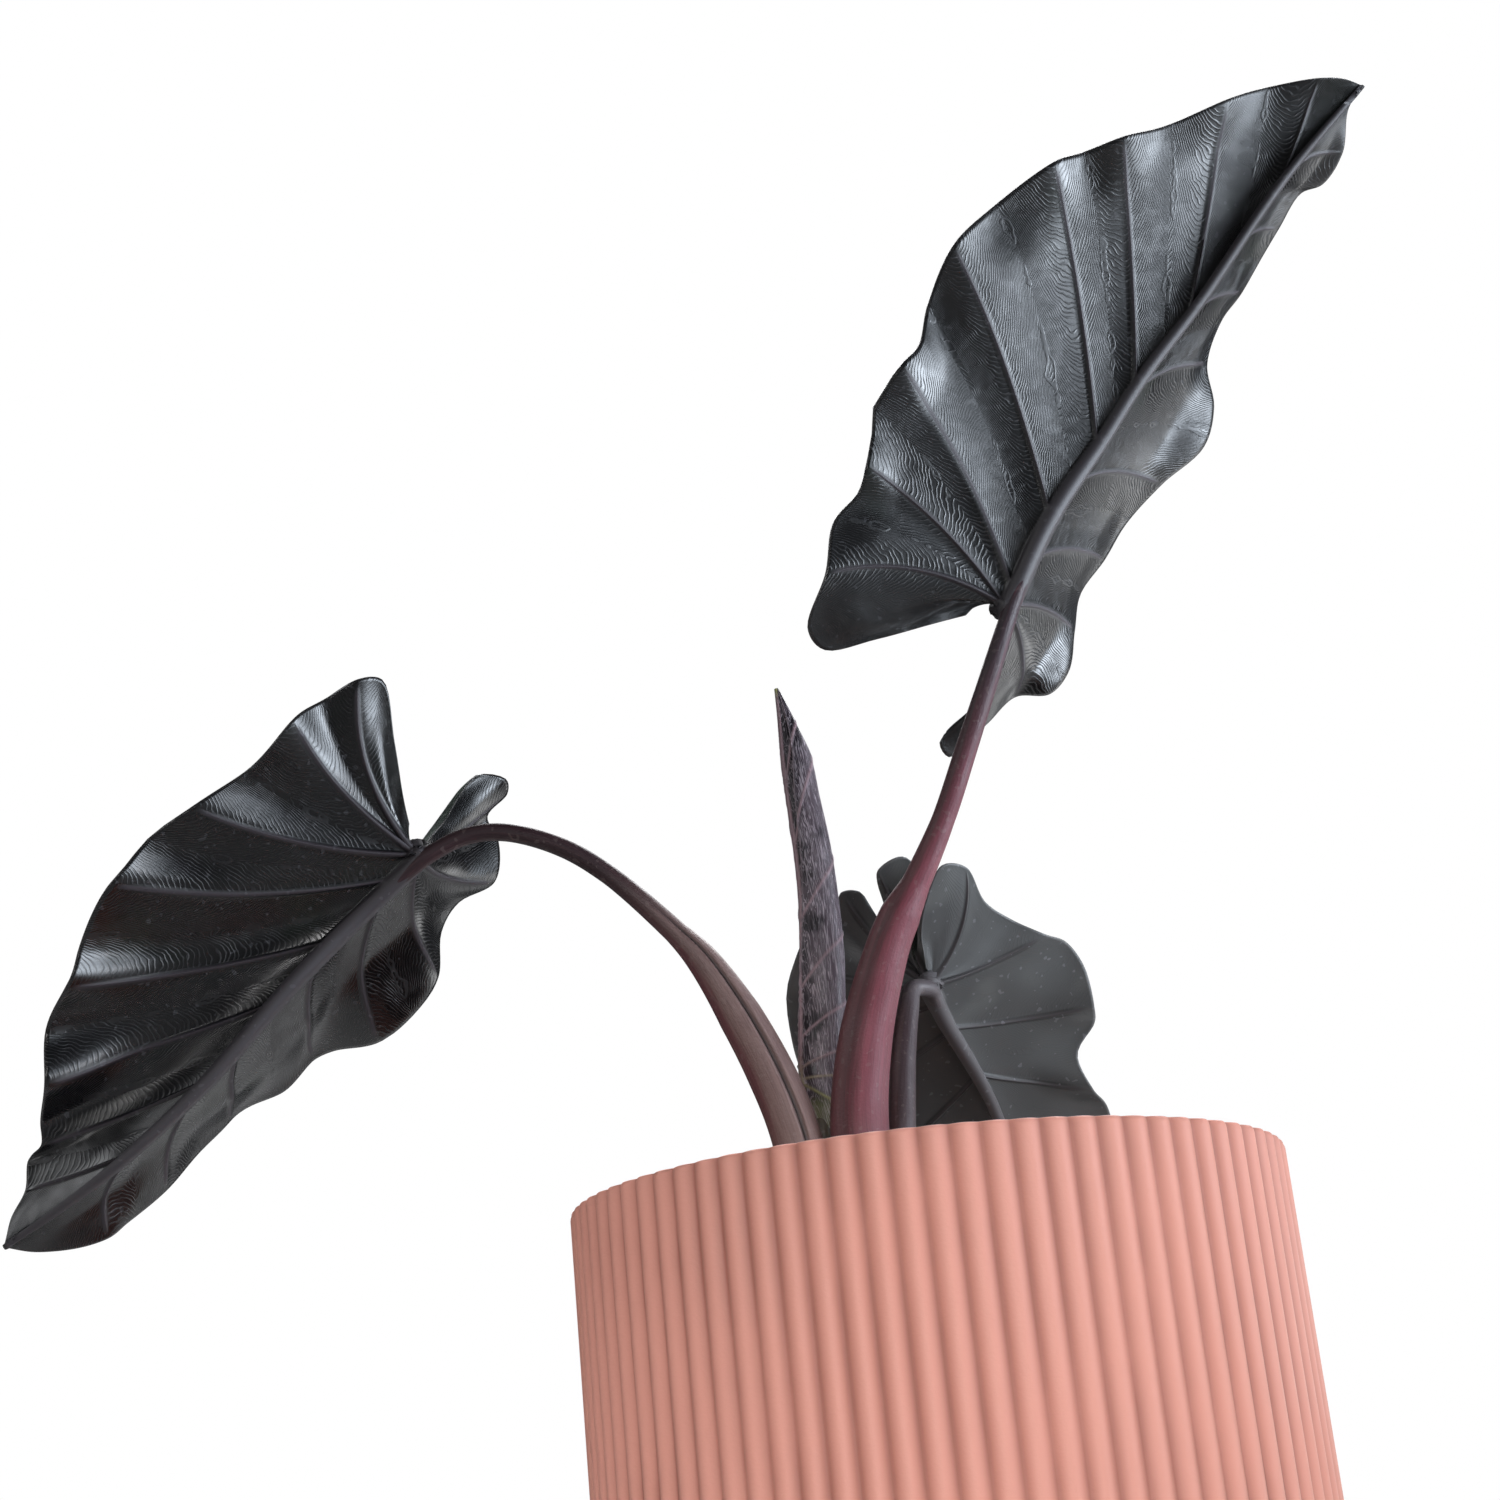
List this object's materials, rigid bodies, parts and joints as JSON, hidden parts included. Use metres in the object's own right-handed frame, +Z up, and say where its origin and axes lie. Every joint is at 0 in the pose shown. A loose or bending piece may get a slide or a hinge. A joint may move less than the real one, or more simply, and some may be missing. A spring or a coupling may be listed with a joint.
{
  "type": "potted velvet alocasia plant",
  "caption": "Dark velvet-leaved alocasia in a grow pot set in a ribbed terracotta-pink cover pot, with long arched stalks and a rolled new leaf.",
  "frame": {"origin": "centre of the cover pot's flat base, on the surface that it stands on", "axes": "+Z up; -Y towards the viewer of the picture; +X to the viewer's right, on the side of the upright leaf"},
  "size_m": [0.387, 0.2182, 0.4498],
  "materials": {
    "cover_pot": "matt terracotta pink",
    "nursery_pot": "satin black",
    "soil": "damp, crumbly potting soil",
    "rhizome": "rough, fibrous, brown",
    "stalk_burgundy": "smooth waxy stalk, burgundy streaked with grey",
    "stalk_grey": "smooth waxy stalk, grey burgundy",
    "stalk_green": "smooth waxy stalk, yellow green",
    "new_leaf": "velvety leaf, dark purple with pale pink veins",
    "blade": "velvety leaf, near black above and grey purple underneath"
  },
  "bodies": {
    "root": {"cover_pot": "cover_pot", "nursery_pot": "nursery_pot", "soil": "soil", "rhizome": "rhizome", "petiole_left": "stalk_burgundy", "petiole_right": "stalk_burgundy", "petiole_back": "stalk_grey", "new_stalk": "stalk_green", "new_leaf": "new_leaf", "blade_left": "blade", "blade_right": "blade", "blade_back": "blade"}
  },
  "joints": []
}
